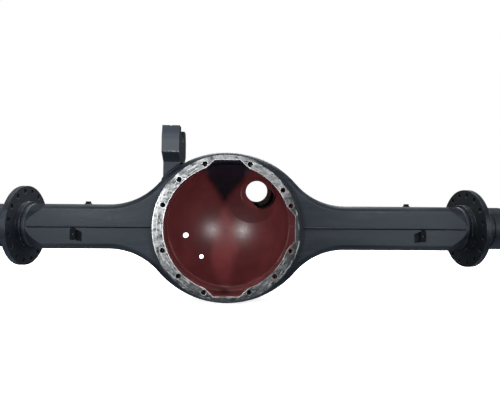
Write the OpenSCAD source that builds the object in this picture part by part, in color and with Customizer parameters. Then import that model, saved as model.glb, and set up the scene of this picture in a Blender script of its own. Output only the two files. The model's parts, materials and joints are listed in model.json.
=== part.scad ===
// Drive axle housing of a heavy truck: two pressed half shells welded into a banjo,
// with a machined carrier ring in front, a dome behind and a spindle at each end.
// Origin: centre of the carrier ring's machined face. X runs along the axle, Y to the rear, Z up.

/* [Arms] */
// Height and depth of the box section of the arms
arm_size = 150; // [130:5:170]
// Outside corner radius of the pressed plate
corner_r = 20; // [17:1:24]
// Plate thickness of the half shells
wall = 14; // [8:1:16]
// Ring centre to the inboard face of the left brake flange
flange_left = 697; // [640:1:800]
// Ring centre to the inboard face of the right brake flange
flange_right = 845; // [740:1:950]
// Length over which the box section runs out to the round neck
taper_len = 64; // [50:1:90]
// Round neck between the arm and the flange, along the axle
neck_len = 26; // [22:1:40]
// Outside diameter of the round neck
neck_d = 149; // [120:1:150]

/* [Banjo] */
// Height of the banjo above the axle line
banjo_half_height = 256; // [250:1:270]
// Radius of the arc over the top of the banjo
banjo_arc_r = 308; // [290:1:330]
// Radius of the hollow that leads from the banjo into the arm
blend_r = 220.52; // [180:0.01:260]

/* [Carrier ring] */
// Outside diameter of the ring
ring_d = 490; // [470:1:496]
// Thickness of the ring
ring_t = 28; // [20:1:36]
// Width of the machined face, from the rim to the bore
ring_face_w = 36; // [33:0.5:45]
// From the rim to the circle of the tapped holes
ring_hole_inset = 22; // [15:0.5:25]
// Tapping diameter of the holes
ring_hole_d = 14.8; // [10:0.1:17]
// Metal left behind the tapped holes
ring_hole_floor = 4; // [2:0.5:6]
// Diameter of the countersink at each hole
ring_sink_d = 18; // [17.5:0.1:19]
// Angle from each axis of the ring to the holes beside it
ring_hole_angle = 19.5; // [18.5:0.5:24]
// Angle of the single hole that stands off the diagonal
ring_odd_angle = 55.6; // [45:0.1:58]
// Depth of the reliefs cut out of the bore
relief_depth = 15; // [11:0.5:17]
// Width of the flat at the bottom of a relief
relief_flat_w = 84; // [60:1:84]
// Half the angle that a relief takes out of the bore
relief_half_angle = 20; // [16:0.5:20.5]
// Clearance of the shells' front opening round the tapped holes
opening_fit = 1.6; // [1:0.1:3]

/* [Rear dome] */
// Inside radius of the dome, measured from the axle line
dome_r = 238; // [236:0.5:240]
// Wall of the dome
dome_wall = 9; // [6:0.5:10]
// Diameter of the filler hole
filler_d = 20; // [16:0.5:30]
// Filler hole, left of the centre
filler_x = 171; // [150:1:180]
// Filler hole, below the axle line
filler_drop = 43; // [30:1:60]
// Diameter of the level hole
level_d = 16; // [12:0.5:26]
// Level hole, left of the centre
level_x = 109; // [90:1:125]
// Level hole, below the axle line
level_drop = 128; // [110:1:140]

/* [Through shaft port] */
// From the inside radius of the dome to the port's centre, toward the middle
port_inset = 75.3; // [72:0.1:90]
// Angle of the port round the dome, to the right of the top
port_clock = 43; // [35:0.5:55]
// From the back of the dome's inside forward to where the port's centre is measured
port_ref_drop = 88; // [78:1:98]
// Length of the port behind that point
port_len = 105; // [95:1:130]
// Upward tilt of the port toward the rear, in degrees
port_tilt = 10; // [0:0.5:12]
// Outside diameter of the port
port_d = 146; // [138:1:150]
// Bearing seat in the port
port_seat_d = 120; // [108:1:124]
// Opening in the rear lip of the port
port_bore_d = 90; // [70:1:104]
// Thickness of the rear lip
port_lip = 20; // [10:1:30]
// Wall of the spigot that goes through the dome
spigot_wall = 6; // [4:0.5:8]
// How far the spigot stands into the dome
spigot_stand = 4; // [2:0.5:8]

/* [Spindles] */
// Axle shaft bore through the spindles
spindle_bore_d = 64; // [50:1:76]
// Root of the spindle, outboard of the flange
root_len = 128; // [100:1:150]
// Groove round the root, from the outboard face of the flange
groove_gap = 36; // [30:1:44]
// Width of the groove
groove_w = 20; // [8:1:24]
// Depth of the groove
groove_depth = 3; // [0.5:0.1:4]
// Inner bearing seat, diameter
inner_seat_d = 110; // [100:1:125]
// Inner bearing seat, length
inner_seat_len = 62; // [40:1:80]
// Tapered stretch between the bearing seats
spacer_len = 70; // [40:1:110]
// Outer bearing seat, diameter
outer_seat_d = 90; // [84:1:98]
// Outer bearing seat, length
outer_seat_len = 50; // [30:1:70]
// Nut seat at the end, diameter
nut_d = 84; // [80:0.5:84]
// Nut seat at the end, length
nut_len = 38; // [25:1:60]

/* [Brake flanges] */
// Outside diameter of the flanges
flange_d = 275; // [262:1:290]
// Thickness of the flanges
flange_t = 16; // [12:1:24]
// Number of holes in each flange
flange_holes = 16; // [8:1:18]
// Bolt circle of the flanges
flange_pcd = 240; // [216:1:242]
// Diameter of the flange holes
flange_hole_d = 16; // [12:0.5:18]
// Diameter of the hub on the inboard side of each flange
hub_d = 165; // [160:1:180]
// Length of that hub
hub_len = 14; // [8:1:18]
// Clearance of the flange bore on the neck, each side
flange_fit = 0.05; // [0:0.01:0.2]

/* [Rod bracket] */
// Left face of the bracket, left of the ring centre
bracket_x = 221; // [212:1:226]
// Width of the bracket along the axle
bracket_w = 58; // [50:1:70]
// Top of the bracket above the axle line
bracket_top = 343; // [325:1:360]
// Height of the head
head_h = 91; // [80:1:100]
// Length of the head, front to rear
head_len = 166; // [150:1:180]
// Length of the web under the head, front to rear
web_len = 100; // [80:1:108]
// Width of the saddle between the two seats
saddle_w = 76; // [60:1:84]
// Depth of the saddle
saddle_depth = 46; // [40:1:55]
// Height of the sloped part of the head's ends
slope_h = 39; // [20:1:45]
// How far the ends lean back over that height
slope_run = 10; // [4:1:14]
// Distance between the two rod bolts
rod_bolt_pitch = 126; // [120:1:130]
// Diameter of the rod bolt holes
rod_bolt_d = 21; // [16:0.5:24]
// Depth of the rod bolt holes
rod_bolt_depth = 62; // [45:1:72]
// Height of the slope that runs from the head back to the web
chin_h = 30; // [16:1:36]

/* [Small fittings] */
// Left pipe clip, outer edge left of the ring centre
clip_left_x = 520; // [480:1:560]
// Right pipe clip, outer edge right of the ring centre
clip_right_x = 673; // [600:1:720]
// Top of the clips below the axle line
clip_drop = 8; // [7:0.5:16]
// Height of the clips
clip_h = 32; // [26:1:40]
// How far the tab droops toward its tip
clip_droop = 7; // [0:0.5:14]
// Width of the foot that is welded to the arm
clip_foot = 18; // [15:1:34]
// Length of the tab that stands out
clip_tab = 18; // [14:1:44]
// Angle of the tab to the arm
clip_angle = 46; // [30:1:60]
// Sheet thickness of the clips
clip_t = 4; // [3:0.5:6]
// Diameter of the hole in the foot
clip_hole_d = 8; // [5:0.5:11]
// Left top boss, left of the ring centre
boss_left_x = 490; // [440:1:560]
// Right top boss, right of the ring centre
boss_right_x = 638; // [560:1:720]
// Diameter of the top bosses
boss_d = 18; // [15:0.5:24]
// Height of the top bosses
boss_h = 10; // [6:0.5:16]
// Tapped hole in the top bosses
boss_hole_d = 8.5; // [5:0.1:10]

/* [Welds] */
// Width of the seam welds along the arms
seam_w = 8; // [6:0.5:12]
// Height of the seam welds
seam_h = 2.5; // [1.5:0.1:4]
// Depth of the bevel on the ring's rear edge that its weld fills
ring_bevel = 9; // [5:0.5:12]
// How far the ring's weld stands out past the rim
ring_bead = 2.5; // [1:0.5:4]
// Radius of the weld bead round the dome
dome_bead = 7; // [4:0.5:8]
// Size of the weld round the port
port_bead = 7; // [4:0.5:9]
// Width of the weld between the arm and the spindle
girth_w = 8; // [6:0.5:11]
// Height of that weld
girth_h = 1.2; // [1:0.1:3]

/* [Hidden] */
$fn = 72;
fine_fn = 360;
dome_fn = 144;
over = 1;
least_corner = 2;
half_arm = arm_size / 2;
neck_r = neck_d / 2;
axle_y = ring_t + half_arm;
front_y = ring_t;
rear_y = ring_t + arm_size;
// Top arc: its centre lies below the axle line, and the blend's centre above the arm.
arc_drop = banjo_arc_r - banjo_half_height;
blend_z = half_arm + blend_r;
centre_gap = banjo_arc_r + blend_r;
blend_x = sqrt(centre_gap * centre_gap - (blend_z + arc_drop) * (blend_z + arc_drop));
// Taper: its cone passes through the corners of the box section where it begins.
corner_reach = (half_arm - corner_r) * sqrt(2) + corner_r;
taper_slope = (corner_reach - neck_r) / taper_len;
ring_bore_d = ring_d - 2 * ring_face_w;
ring_pcd = ring_d - 2 * ring_hole_inset;
front_opening_r = (ring_pcd + ring_hole_d) / 2 + opening_fit;
dome_outer_r = dome_r + dome_wall;
port_reach = dome_r - port_inset;
port_x = port_reach * sin(port_clock);
port_z = port_reach * cos(port_clock);
port_depth = dome_r - port_ref_drop;
dome_mouth_r = sqrt(dome_r * dome_r - half_arm * half_arm);
dome_rim_r = sqrt(dome_outer_r * dome_outer_r - half_arm * half_arm);
seam_start = max(ring_d / 2 + ring_bead, dome_rim_r + dome_bead) + seam_w;
bracket_mid_x = -bracket_x + bracket_w / 2;
head_z = bracket_top - head_h;
paint = "#2b2e35";
steel = "#b9bcbd";
primer = "#8c3029";

function side_sign(left) = left ? -1 : 1;
function flange_face(left) = left ? flange_left : flange_right;
function arm_end(left) = flange_face(left) - neck_len;

// Turns a solid that stands along Z into one that lies along Y, at the axle line.
module along_y() {
  translate([0, axle_y, 0]) rotate([90, 0, 0]) children();
}

// Turns a solid that stands along Z into one that lies along the axle, to the left or right.
module along_axle(left) {
  translate([0, axle_y, 0]) mirror([left ? 1 : 0, 0, 0]) rotate([0, 90, 0]) children();
}

module rounded_rectangle(w, h, r) {
  square([w - 2 * r, h], center = true);
  square([w, h - 2 * r], center = true);
  for (sx = [-1, 1], sy = [-1, 1])
    translate([sx * (w / 2 - r), sy * (h / 2 - r)]) circle(r);
}

// Half section of the top arc's body: rounded at its outer edge.
module arc_section(r, half, rc) {
  translate([0, -half]) square([r - rc, 2 * half]);
  translate([0, rc - half]) square([r, 2 * (half - rc)]);
  for (s = [-1, 1])
    translate([r - rc, s * (half - rc)]) circle(rc);
}

// Half section of the blend's body: rounded at its inner edge.
module blend_section(r, half, rc) {
  translate([r + rc, -half]) square([centre_gap - r - rc, 2 * half]);
  translate([r, rc - half]) square([centre_gap - r, 2 * (half - rc)]);
  for (s = [-1, 1])
    translate([r + rc, s * (half - rc)]) circle(rc);
}

// Corner radius of the plate at a depth of inset below its outside.
function plate_corner(inset) = max(corner_r - inset, least_corner);

// Round body whose top is the arc over the banjo.
module arc_body(inset) {
  translate([0, 0, -arc_drop]) along_y() rotate_extrude()
    arc_section(banjo_arc_r - inset, half_arm - inset, plate_corner(inset));
}

// Upper half of the banjo, drawn in from the outside by inset.
module banjo_half(inset) {
  intersection() {
    arc_body(inset);
    along_y() linear_extrude(2 * arm_size, center = true)
      polygon([[0, -arc_drop], [blend_x, blend_z], [-blend_x, blend_z]]);
  }
  for (s = [-1, 1])
    intersection() {
      translate([s * blend_x, 0, blend_z]) along_y() rotate_extrude()
        blend_section(blend_r + inset, half_arm - inset, plate_corner(inset));
      along_y() linear_extrude(2 * arm_size, center = true)
        polygon([[s * blend_x, blend_z], [0, -arc_drop], [s * blend_x, -arc_drop]]);
    }
}

// One arm with its run-out to the neck, drawn in from the outside by inset.
module arm(left, inset, extra) {
  size = arm_size - 2 * inset;
  len = arm_end(left) + extra - blend_x;
  end_r = neck_r - inset - taper_slope * extra;
  intersection() {
    along_axle(left) translate([0, 0, blend_x]) linear_extrude(len)
      rounded_rectangle(size, size, plate_corner(inset));
    along_axle(left) translate([0, 0, blend_x]) cylinder(h = len, r1 = end_r + taper_slope * len, r2 = end_r);
  }
}

// Upper half of the whole housing body; floor_z is where it stops at the bottom.
module half_body(inset, extra, floor_z) {
  intersection() {
    union() {
      banjo_half(inset);
      arm(true, inset, extra);
      arm(false, inset, extra);
    }
    translate([-2 * flange_right, -arm_size, floor_z]) cube([4 * flange_right, 4 * arm_size, 4 * arm_size]);
  }
}

module half_shell() {
  difference() {
    half_body(0, 0, 0);
    half_body(wall, over, -over);
    translate([0, front_y + wall + over, 0]) rotate([90, 0, 0])
      cylinder(h = wall + 2 * over, r = front_opening_r);
    translate([0, rear_y + over, 0]) rotate([90, 0, 0])
      cylinder(h = wall + 2 * over, r = dome_mouth_r);
  }
}

module upper_shell() {
  color(paint) half_shell();
}

module lower_shell() {
  color(paint) mirror([0, 0, 1]) half_shell();
}

// Relief in the bore: a straight flat whose ends slant out to the bore.
module ring_relief(angle) {
  bore_r = ring_bore_d / 2;
  flat = bore_r + relief_depth;
  side_x = bore_r * sin(relief_half_angle);
  side_z = bore_r * cos(relief_half_angle);
  rotate([0, angle, 0]) translate([0, ring_t + over, 0]) rotate([90, 0, 0]) linear_extrude(ring_t + 2 * over)
    polygon([
      [0, 0],
      [side_x, side_z],
      [relief_flat_w / 2, flat],
      [-relief_flat_w / 2, flat],
      [-side_x, side_z]
    ]);
}

// Blind tapped hole with its countersink, at an angle clockwise from the top.
module ring_hole(angle) {
  sink = (ring_sink_d - ring_hole_d) / 2;
  translate([ring_pcd / 2 * sin(angle), 0, ring_pcd / 2 * cos(angle)]) rotate([-90, 0, 0]) {
    translate([0, 0, -over]) cylinder(h = over + ring_t - ring_hole_floor, d = ring_hole_d);
    translate([0, 0, -over]) cylinder(h = over + sink, r1 = ring_sink_d / 2 + over, r2 = ring_hole_d / 2);
  }
}

module carrier_ring() {
  color(steel)
    difference() {
      rotate([-90, 0, 0]) rotate_extrude()
        polygon([
          [ring_bore_d / 2, 0],
          [ring_d / 2, 0],
          [ring_d / 2, ring_t - ring_bevel],
          [ring_d / 2 - ring_bevel, ring_t],
          [ring_bore_d / 2, ring_t]
        ]);
      for (a = [0, 90, 180])
        ring_relief(a);
      for (a = [0:90:270], s = [-1, 1])
        ring_hole(a + s * ring_hole_angle);
      for (a = [135, 225, 315])
        ring_hole(a);
      ring_hole(ring_odd_angle);
    }
}

// Weld that fills the bevel on the ring's rear edge and stands a little past the rim.
module ring_weld() {
  color(paint)
    rotate([-90, 0, 0]) rotate_extrude()
      polygon([
        [ring_d / 2 - ring_bevel, ring_t],
        [ring_d / 2, ring_t - ring_bevel],
        [ring_d / 2 + ring_bead, ring_t - ring_bevel / 2],
        [ring_d / 2 + ring_bead, ring_t]
      ]);
}

// Everything more than lift behind the rear face of the shells.
module rear_half_space(lift) {
  reach = 2 * dome_outer_r;
  translate([-reach, rear_y + lift, -reach]) cube([2 * reach, reach, 2 * reach]);
}

// Stands children on the port's axis, with +Z toward the rear.
module port_frame() {
  translate([port_x, axle_y + port_depth, port_z]) rotate([port_tilt - 90, 0, 0]) children();
}

module rear_dome() {
  color(primer)
    difference() {
      intersection() {
        translate([0, axle_y, 0]) sphere(dome_outer_r);
        rear_half_space(0);
      }
      translate([0, axle_y, 0]) sphere(dome_r);
      port_frame() translate([0, 0, -port_depth / 2])
        cylinder(h = port_depth, r = port_seat_d / 2 + spigot_wall);
      translate([-filler_x, axle_y, -filler_drop]) rotate([-90, 0, 0]) cylinder(h = 2 * dome_r, d = filler_d);
      translate([-level_x, axle_y, -level_drop]) rotate([-90, 0, 0]) cylinder(h = 2 * dome_r, d = level_d);
    }
}

// Bead in the corner between the dome's rim and the rear face of the shell.
module dome_weld() {
  color(paint)
    translate([0, axle_y, 0]) rotate([-90, 0, 0]) rotate_extrude()
      difference() {
        translate([dome_rim_r, half_arm]) circle(dome_bead);
        circle(dome_outer_r, $fn = fine_fn);
        translate([0, -half_arm]) square([2 * dome_outer_r, arm_size]);
      }
}

// Tube seated on the dome and clear of the bead at its rim, with a spigot that goes through the dome.
module through_port() {
  color(paint)
    difference() {
      union() {
        difference() {
          intersection() {
            port_frame() translate([0, 0, -port_depth / 2])
              cylinder(h = port_depth / 2 + port_len, d = port_d);
            rear_half_space(dome_bead);
          }
          translate([0, axle_y, 0]) sphere(dome_outer_r, $fn = dome_fn);
        }
        difference() {
          port_frame() translate([0, 0, -port_depth / 2])
            cylinder(h = port_depth / 2 + port_len - port_lip, r = port_seat_d / 2 + spigot_wall);
          translate([0, axle_y, 0]) sphere(dome_r - spigot_stand, $fn = dome_fn);
        }
      }
      port_frame() translate([0, 0, -port_depth])
        cylinder(h = port_depth + port_len - port_lip, d = port_seat_d);
      port_frame() cylinder(h = port_len + over, d = port_bore_d);
    }
}

// Bead round the port; it stops above the bead at the dome's rim.
module port_weld() {
  color(paint)
    difference() {
      intersection() {
        translate([0, axle_y, 0]) sphere(dome_outer_r + port_bead);
        port_frame() translate([0, 0, -port_depth / 2])
          cylinder(h = port_depth / 2 + port_len, d = port_d + 2 * port_bead);
        rear_half_space(dome_bead);
      }
      translate([0, axle_y, 0]) sphere(dome_outer_r);
      port_frame() translate([0, 0, -port_depth]) cylinder(h = port_depth + 2 * port_len, d = port_d);
    }
}

// Spindle from the end of the arm outward, turned in one piece with the neck.
module spindle(left) {
  a = arm_end(left);
  b = flange_face(left) + flange_t + root_len;
  c = b + inner_seat_len;
  d = c + spacer_len;
  e = d + outer_seat_len;
  f = e + nut_len;
  g = flange_face(left) + flange_t + groove_gap;
  floor_r = neck_r - groove_depth;
  bore_r = spindle_bore_d / 2;
  mouth_r = neck_r - wall;
  shoulder = (neck_d - inner_seat_d) / 2;
  color(paint)
    along_axle(left) rotate_extrude()
      polygon([
        [mouth_r, a],
        [neck_r, a],
        [neck_r, g],
        [floor_r, g],
        [floor_r, g + groove_w],
        [neck_r, g + groove_w],
        [neck_r, b - shoulder],
        [inner_seat_d / 2, b],
        [inner_seat_d / 2, c],
        [outer_seat_d / 2, d],
        [outer_seat_d / 2, e],
        [nut_d / 2, e],
        [nut_d / 2, f],
        [bore_r, f],
        [bore_r, a + mouth_r - bore_r]
      ]);
}

module spindle_left() {
  spindle(true);
}

module spindle_right() {
  spindle(false);
}

module brake_flange(left) {
  face = flange_face(left);
  color(paint)
    along_axle(left)
      difference() {
        union() {
          translate([0, 0, face]) cylinder(h = flange_t, d = flange_d);
          translate([0, 0, face - hub_len]) cylinder(h = hub_len + over, d = hub_d);
        }
        translate([0, 0, face - hub_len - over])
          cylinder(h = hub_len + flange_t + 2 * over, r = neck_r + flange_fit);
        for (i = [0:flange_holes - 1])
          rotate([0, 0, (i + 0.5) * 360 / flange_holes])
            translate([flange_pcd / 2, 0, face - over]) cylinder(h = flange_t + 2 * over, d = flange_hole_d);
      }
}

module brake_flange_left() {
  brake_flange(true);
}

module brake_flange_right() {
  brake_flange(false);
}

// Low bead round the neck where the arm meets the spindle.
module girth_weld(left) {
  color(paint)
    along_axle(left) translate([0, 0, arm_end(left)]) rotate_extrude()
      polygon([
        [neck_r, 0],
        [neck_r + girth_h, girth_h],
        [neck_r + girth_h, girth_w - girth_h],
        [neck_r, girth_w]
      ]);
}

module girth_weld_left() {
  girth_weld(true);
}

module girth_weld_right() {
  girth_weld(false);
}

// Bead along the joint of the two half shells, on the front or the rear of an arm.
module seam_weld(left, front) {
  crown_r = (seam_w * seam_w / 4 + seam_h * seam_h) / (2 * seam_h);
  len = arm_end(left) - seam_start - seam_w;
  face_y = front ? front_y : rear_y;
  color(paint)
    translate([side_sign(left) * (seam_start + len / 2), face_y, 0]) mirror([0, front ? 1 : 0, 0])
      rotate([90, 0, 90]) linear_extrude(len, center = true)
        intersection() {
          translate([seam_h - crown_r, 0]) circle(crown_r);
          translate([0, -seam_w]) square([seam_w, 2 * seam_w]);
        }
}

module seam_weld_front_left() {
  seam_weld(true, true);
}

module seam_weld_front_right() {
  seam_weld(false, true);
}

module seam_weld_rear_left() {
  seam_weld(true, false);
}

module seam_weld_rear_right() {
  seam_weld(false, false);
}

// Side view of the bracket, drawn with the axle line at zero.
module bracket_outline() {
  valley_r = saddle_w / 2;
  difference() {
    union() {
      polygon([
        [-web_len / 2, head_z - chin_h],
        [web_len / 2, head_z - chin_h],
        [head_len / 2, head_z],
        [head_len / 2, bracket_top - slope_h],
        [head_len / 2 - slope_run, bracket_top],
        [slope_run - head_len / 2, bracket_top],
        [-head_len / 2, bracket_top - slope_h],
        [-head_len / 2, head_z]
      ]);
      translate([-web_len / 2, half_arm]) square([web_len, head_z - half_arm]);
    }
    translate([0, bracket_top - saddle_depth + valley_r]) circle(valley_r);
    translate([-valley_r, bracket_top - saddle_depth + valley_r]) square([saddle_w, saddle_depth]);
  }
}

module rod_bracket() {
  color(paint)
    difference() {
      translate([-bracket_x, axle_y, 0]) rotate([90, 0, 90]) linear_extrude(bracket_w) bracket_outline();
      for (s = [-1, 1])
        translate([bracket_mid_x, axle_y + s * rod_bolt_pitch / 2, bracket_top - rod_bolt_depth])
          cylinder(h = rod_bolt_depth + over, d = rod_bolt_d);
      arc_body(0);
    }
}

// Foot welded to the arm, with a tab that stands out and droops toward the middle of the axle.
module pipe_clip(left) {
  edge = left ? clip_left_x : clip_right_x;
  tip_x = clip_foot + clip_tab * cos(clip_angle);
  tip_y = clip_t + clip_tab * sin(clip_angle);
  reach_x = tip_x + clip_t * sin(clip_angle);
  reach_y = tip_y - clip_t * cos(clip_angle);
  color(paint)
    translate([side_sign(left) * edge, front_y, -clip_drop]) mirror([left ? 0 : 1, 0, 0])
      difference() {
        intersection() {
          translate([0, 0, -clip_h - 2 * clip_droop]) linear_extrude(clip_h + 3 * clip_droop)
            polygon([
              [0, 0],
              [0, -clip_t],
              [clip_foot, -clip_t],
              [tip_x, -tip_y],
              [reach_x, -reach_y],
              [clip_foot + clip_t * tan(clip_angle / 2), 0]
            ]);
          translate([0, over, 0]) rotate([90, 0, 0]) linear_extrude(tip_y + 2 * over)
            polygon([
              [-over, 0],
              [clip_foot, 0],
              [reach_x + over, -clip_droop],
              [reach_x + over, -clip_droop - clip_h],
              [clip_foot, -clip_h],
              [-over, -clip_h]
            ]);
        }
        translate([clip_foot / 2, over, -clip_h / 2]) rotate([90, 0, 0])
          cylinder(h = clip_t + 2 * over, d = clip_hole_d);
      }
}

module pipe_clip_left() {
  pipe_clip(true);
}

module pipe_clip_right() {
  pipe_clip(false);
}

module top_boss(x) {
  color(paint)
    translate([x, axle_y, half_arm])
      difference() {
        cylinder(h = boss_h, d = boss_d);
        translate([0, 0, -over]) cylinder(h = boss_h + 2 * over, d = boss_hole_d);
      }
}

module top_boss_left() {
  top_boss(-boss_left_x);
}

module top_boss_right() {
  top_boss(boss_right_x);
}

upper_shell();
lower_shell();
carrier_ring();
ring_weld();
rear_dome();
dome_weld();
through_port();
port_weld();
spindle_left();
spindle_right();
brake_flange_left();
brake_flange_right();
girth_weld_left();
girth_weld_right();
seam_weld_front_left();
seam_weld_front_right();
seam_weld_rear_left();
seam_weld_rear_right();
rod_bracket();
pipe_clip_left();
pipe_clip_right();
top_boss_left();
top_boss_right();
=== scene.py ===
import json
import math

import bpy
from mathutils import Matrix, Vector


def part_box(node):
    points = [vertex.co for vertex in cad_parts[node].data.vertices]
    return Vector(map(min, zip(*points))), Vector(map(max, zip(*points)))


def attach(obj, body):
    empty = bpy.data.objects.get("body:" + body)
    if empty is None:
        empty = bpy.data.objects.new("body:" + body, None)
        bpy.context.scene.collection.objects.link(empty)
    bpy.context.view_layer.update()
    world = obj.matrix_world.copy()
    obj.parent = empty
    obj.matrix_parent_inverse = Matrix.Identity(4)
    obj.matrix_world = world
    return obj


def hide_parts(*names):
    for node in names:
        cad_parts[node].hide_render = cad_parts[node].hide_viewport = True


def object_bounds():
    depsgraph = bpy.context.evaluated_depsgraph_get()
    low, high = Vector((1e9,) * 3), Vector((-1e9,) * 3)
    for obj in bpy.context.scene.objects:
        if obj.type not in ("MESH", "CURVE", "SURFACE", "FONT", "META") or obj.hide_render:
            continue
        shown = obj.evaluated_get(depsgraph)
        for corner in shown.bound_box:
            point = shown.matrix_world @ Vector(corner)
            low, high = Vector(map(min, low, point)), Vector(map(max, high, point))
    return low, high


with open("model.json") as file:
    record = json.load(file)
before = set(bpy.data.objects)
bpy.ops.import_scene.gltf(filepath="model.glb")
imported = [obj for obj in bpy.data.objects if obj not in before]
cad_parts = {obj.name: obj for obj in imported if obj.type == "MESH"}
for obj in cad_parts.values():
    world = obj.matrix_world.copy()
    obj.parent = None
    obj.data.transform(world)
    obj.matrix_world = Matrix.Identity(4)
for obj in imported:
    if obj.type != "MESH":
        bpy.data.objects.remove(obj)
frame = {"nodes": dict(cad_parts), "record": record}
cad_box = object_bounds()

NODES = frame["nodes"]
SCENE = bpy.context.scene
SIDES = ("left", "right")
TURN = 2 * math.pi

# Places and sizes of the part, in metres
SPINDLE_LOW, SPINDLE_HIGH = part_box("spindle_right")
AXLE_Y = (SPINDLE_LOW.y + SPINDLE_HIGH.y) / 2
AXLE_POINT = Vector((0.0, AXLE_Y, 0.0))
LOWEST = cad_box[0].z
FRONT_Y, REAR_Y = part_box("upper_shell")[0].y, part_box("upper_shell")[1].y
HALF_ARM = (REAR_Y - FRONT_Y) / 2
BRACKET_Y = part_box("rod_bracket")[0].y
RING_R = 0.245
RING_BEVEL = 0.009
RELIEF_R = 0.227
DOME_R = 0.238
DOME_OUTER_R = 0.247
NECK_R = 0.0745
NUT_R = 0.042
BANJO_ARC_R, BANJO_ARC_DROP = 0.308, 0.052
WEB_HALF = 0.050
CLIP_TOP, CLIP_H = -0.008, 0.032
MOUNTS = {m["name"]: m for m in frame["record"]["mounts"]}


def seat_start(side):
    """How far out along the axle a spindle's inner bearing seat begins."""
    seat = MOUNTS["inner_bearing_seat_" + side]
    return abs(seat["pos_m"][0]) - seat["dims"]["length_mm"] / 2000


SEAT_LEFT, SEAT_RIGHT = -seat_start("left"), seat_start("right")

# Port: a point on its axis, how far past that its bore lies, and its radii. Its inner end lies on a
# sphere round the dome's centre, and the step at the end of its bearing seat lies past the last depth
PORT_BORE = MOUNTS["through_shaft_bore"]
PORT_BORE_DEPTH = 0.095
PORT_AXIS = Vector(PORT_BORE["axis"]).normalized()
PORT_POINT = Vector(PORT_BORE["pos_m"]) - PORT_AXIS * PORT_BORE_DEPTH
PORT_R = 0.073
PORT_SEAT_R = 0.060
PORT_END_R = 0.234
PORT_STEP_DEPTH = 0.03

# Holes in the ring: the angles run from the top toward the right
HOLE_ANGLE, ODD_HOLE_ANGLE = 19.5, 55.6
RING_HOLE_PCD_R = 0.223
RING_HOLE_REACH = 0.0095
RING_HOLE_ANGLES = sorted(
    [quarter + angle for quarter in (0, 90, 180, 270) for angle in (HOLE_ANGLE, 90 - HOLE_ANGLE)]
    + [ODD_HOLE_ANGLE, 135, 225, 315]
)
PRIMED_HOLES = RING_HOLE_ANGLES[1:5]

# Slack for picking faces by their place
SLACK = 0.0005

# Weld beads: their mesh, the pitch of their scales, how far each stands out, its legs and way out
SCALE_STEPS = 7
BEAD_POINTS = 11
BEAD_SINK = 0.0006
BEAD_PITCH, CLIP_PITCH, BOSS_PITCH = 0.0062, 0.0032, 0.0034
BULGE = {
    "ring": 0.0022, "dome": 0.0030, "mouth": 0.0016, "port": 0.0022, "girth": 0.0014,
    "seam": 0.0026, "bracket": 0.0025, "clip": 0.0010, "boss": 0.0009,
}
RING_LEG, DOME_LEG, PORT_LEG = 0.0035, 0.0072, 0.0075
RING_LAP, GIRTH_LAP = 0.0005, 0.0006
RING_WAY, DOME_WAY = Vector((0.0, -0.36, 0.0)), Vector((0.0, 0.80, 0.0))
RING_SPLAY, DOME_SPLAY = 0.93, 0.60
MOUTH_HALF = 0.0032
BRACKET_LEG, BRACKET_INNER_LEG = 0.009, 0.018
CLIP_LEG, FITTING_LEG = 0.0038, 0.0036
CLIP_BEAD_INSET, CLIP_BEAD_LEN = 0.001, 0.015
PORT_BEAD_STEPS = 720
PORT_BEAD_CLEARANCE = 0.0075
PORT_BEAD_STRETCH = 1.1

# Screw threads: length, depth (negative stands inward), pitch and points round
THREAD_STEPS = 5
BOSS_THREAD = (0.0094, -0.0007, 0.00125, 24)
RING_THREAD = (0.022, -0.0010, 0.002, 28)
NUT_THREAD = (0.034, 0.0011, 0.002, 96)
RING_THREAD_R = 0.0073
BOSS_THREAD_INSET, RING_THREAD_INSET, NUT_THREAD_INSET = 0.0003, 0.0018, 0.0015
BOSS_THREAD_PLAY = 0.0001

# Swell round the port: angles from the right, counted toward the top
PORT_RIM_R = 0.0661
SWELL_FROM, SWELL_TO, SWELL_WIDEST = 150.0, 330.0, 215.0
SWELL_STEPS, SWELL_RINGS = 72, 14
SWELL_WIDTH, SWELL_SKEW, SWELL_HEIGHT, SWELL_SINK = 0.050, 0.023, 0.0037, 0.0003

# Drawn-in edge of the port's mouth: the same angles, and how far from the port's axis it reaches
PORT_EDGE = (
    (13, 0.059), (44, 0.047), (60, 0.052), (90, 0.057), (105, 0.0565), (241, 0.037), (272, 0.058),
)
EDGE_STEPS, EDGE_THICK = 32, 0.004
EDGE_BEND, EDGE_ROUND, EDGE_LAP = 0.003, 0.0012, 0.0002

# Camera, as fitted to the photograph
CAMERA_PLACE = Vector((0.04121, -1.28034, 0.06793))
CAMERA_YAW = math.radians(-1.50)
CAMERA_PITCH = math.radians(1.12)
CAMERA_ROLL = math.radians(0.49)
FOCAL_PX = 389.59
IMAGE_WIDTH_PX = 500
SENSOR_MM = 36.0

# Lamps seen from the middle of the dome: name, side and rise in degrees, distance, width, watts
LAMPS = (
    ("lamp_left", -27.0, 9.0, 2.60, 0.18, 54.0),
    ("lamp_right", 32.2, 8.2, 3.40, 0.24, 74.0),
)
# Large soft lights: name, place, width, watts
SOFTBOXES = (
    ("softbox", Vector((0.0, 0.2, 3.2)), 3.6, 220.0),
    ("rear_softbox", Vector((0.3, 3.2, 3.4)), 3.0, 300.0),
)
FLOOR_SIZE, FLOOR_DROP = 60.0, 0.001

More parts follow.
